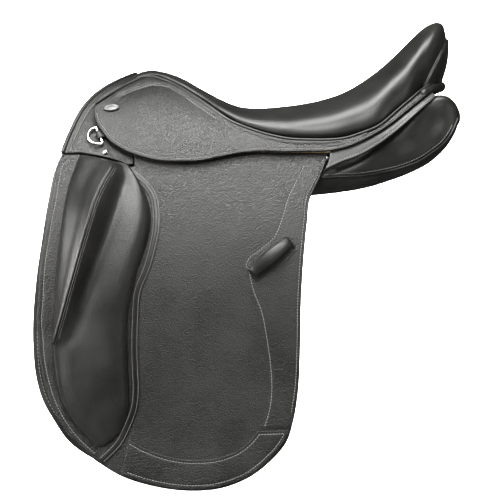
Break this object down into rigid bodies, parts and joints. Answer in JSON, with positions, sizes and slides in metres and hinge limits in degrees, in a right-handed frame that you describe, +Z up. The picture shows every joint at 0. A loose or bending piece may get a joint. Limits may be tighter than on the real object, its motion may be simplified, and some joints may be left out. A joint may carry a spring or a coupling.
{
  "type": "english saddle",
  "caption": "Dressage saddle with long straight flaps, external knee blocks, deep seat, skirts, wool panels, stirrup bars and girth straps on a sprung tree",
  "frame": {"origin": "on the symmetry plane, level with the underside of the panels, below the middle of the seat", "axes": "+X to the rear of the horse, +Y to its right side, +Z up"},
  "size_m": [0.5512, 0.4878, 0.6084],
  "materials": {
    "bar_steel": "forged and tumbled",
    "chrome": "polished plate",
    "flap_leather": "grained, satin",
    "flocking": "loose wool",
    "foam": "open-cell foam",
    "piping_leather": "smooth, satin",
    "rivet_steel": "plain",
    "seat_leather": "soft grain, satin",
    "soft_leather": "soft grain, satin",
    "spring_steel": "oiled spring steel",
    "strap_leather": "smooth, waxed",
    "tree_laminate": "laminated, sealed",
    "webbing": "woven linen web"
  },
  "bodies": {
    "saddle": {"bar_rivets": "rivet_steel", "cantle_facing": "seat_leather", "cantle_plate": "spring_steel", "catch_pins": "rivet_steel", "dee_chapes": "flap_leather", "girth_webs": "webbing", "gullet_plate": "spring_steel", "head_plate": "spring_steel", "panel_cover_left": "soft_leather", "panel_cover_right": "soft_leather", "panel_flocking_left": "flocking", "panel_flocking_right": "flocking", "panel_gusset_left": "soft_leather", "panel_gusset_right": "soft_leather", "point_pockets": "flap_leather", "pommel_facing": "flap_leather", "saddle_nails": "chrome", "seat_cover": "seat_leather", "seat_foam": "foam", "seat_webbing": "webbing", "seat_welt_left": "piping_leather", "seat_welt_right": "piping_leather", "skirt_badges": "chrome", "skirt_binding_left": "flap_leather", "skirt_binding_right": "flap_leather", "skirt_left": "flap_leather", "skirt_right": "flap_leather", "spring_rails": "spring_steel", "stirrup_bar_left": "bar_steel", "stirrup_bar_right": "bar_steel", "sweat_flap_left": "flap_leather", "sweat_flap_right": "flap_leather", "tree_frame": "tree_laminate", "tree_rivets": "rivet_steel"},
    "flap_left_body": {"flap_left": "flap_leather", "flap_patch_left": "flap_leather", "flap_band_left": "flap_leather", "flap_facing_left": "flap_leather", "knee_block_foam_left": "foam", "knee_block_cover_left": "soft_leather", "knee_block_piping_left": "piping_leather", "keeper_left": "flap_leather"},
    "skirt_lobe_left_body": {"skirt_lobe_left": "flap_leather"},
    "dee_ring_left_body": {"dee_ring_left": "chrome"},
    "bar_catch_left_body": {"bar_catch_left": "bar_steel"},
    "girth_strap_front_left_body": {"girth_strap_front_left": "strap_leather"},
    "girth_strap_rear_left_body": {"girth_strap_rear_left": "strap_leather"},
    "flap_right_body": {"flap_right": "flap_leather", "flap_patch_right": "flap_leather", "flap_band_right": "flap_leather", "flap_facing_right": "flap_leather", "knee_block_foam_right": "foam", "knee_block_cover_right": "soft_leather", "knee_block_piping_right": "piping_leather", "keeper_right": "flap_leather"},
    "skirt_lobe_right_body": {"skirt_lobe_right": "flap_leather"},
    "dee_ring_right_body": {"dee_ring_right": "chrome"},
    "bar_catch_right_body": {"bar_catch_right": "bar_steel"},
    "girth_strap_front_right_body": {"girth_strap_front_right": "strap_leather"},
    "girth_strap_rear_right_body": {"girth_strap_rear_right": "strap_leather"}
  },
  "joints": [
    {"name": "flap_lift_left", "type": "hinge", "parent": "saddle", "child": "flap_left_body", "pos_m": [0, -0.14545, 0.057], "axis": [-1, 0, 0], "range_deg": [0, 60]},
    {"name": "skirt_lift_left", "type": "hinge", "parent": "saddle", "child": "skirt_lobe_left_body", "pos_m": [0.028, -0.1535, 0.059], "axis": [-0.9686, 0.1398, 0.2053], "range_deg": [0, 75]},
    {"name": "dee_swing_left", "type": "hinge", "parent": "saddle", "child": "dee_ring_left_body", "pos_m": [-0.1825, -0.1291, 0.079], "axis": [-0.342, 0.5312, 0.7751], "range_deg": [0, 90]},
    {"name": "catch_flip_left", "type": "hinge", "parent": "saddle", "child": "bar_catch_left_body", "pos_m": [-0.074, -0.12519, 0.073], "axis": [0, -0.8321, 0.5546], "range_deg": [0, 50]},
    {"name": "girth_front_swing_left", "type": "hinge", "parent": "saddle", "child": "girth_strap_front_left_body", "pos_m": [-0.05, -0.12801, 0.062], "axis": [0, 1, 0], "range_deg": [-8, 8]},
    {"name": "girth_rear_swing_left", "type": "hinge", "parent": "saddle", "child": "girth_strap_rear_left_body", "pos_m": [0.045, -0.12801, 0.062], "axis": [0, 1, 0], "range_deg": [-8, 8]},
    {"name": "flap_lift_right", "type": "hinge", "parent": "saddle", "child": "flap_right_body", "pos_m": [0, 0.14545, 0.057], "axis": [1, 0, 0], "range_deg": [0, 60]},
    {"name": "skirt_lift_right", "type": "hinge", "parent": "saddle", "child": "skirt_lobe_right_body", "pos_m": [0.028, 0.1535, 0.059], "axis": [0.9686, 0.1398, -0.2053], "range_deg": [0, 75]},
    {"name": "dee_swing_right", "type": "hinge", "parent": "saddle", "child": "dee_ring_right_body", "pos_m": [-0.1825, 0.1291, 0.079], "axis": [0.342, 0.5312, -0.7751], "range_deg": [0, 90]},
    {"name": "catch_flip_right", "type": "hinge", "parent": "saddle", "child": "bar_catch_right_body", "pos_m": [-0.074, 0.12519, 0.073], "axis": [0, -0.8321, -0.5546], "range_deg": [0, 50]},
    {"name": "girth_front_swing_right", "type": "hinge", "parent": "saddle", "child": "girth_strap_front_right_body", "pos_m": [-0.05, 0.12801, 0.062], "axis": [0, 1, 0], "range_deg": [-8, 8]},
    {"name": "girth_rear_swing_right", "type": "hinge", "parent": "saddle", "child": "girth_strap_rear_right_body", "pos_m": [0.045, 0.12801, 0.062], "axis": [0, 1, 0], "range_deg": [-8, 8]}
  ],
  "couplings": [
    {"joint": "skirt_lift_left", "follows": "flap_lift_left", "ratio": 1.25},
    {"joint": "skirt_lift_right", "follows": "flap_lift_right", "ratio": 1.25}
  ]
}
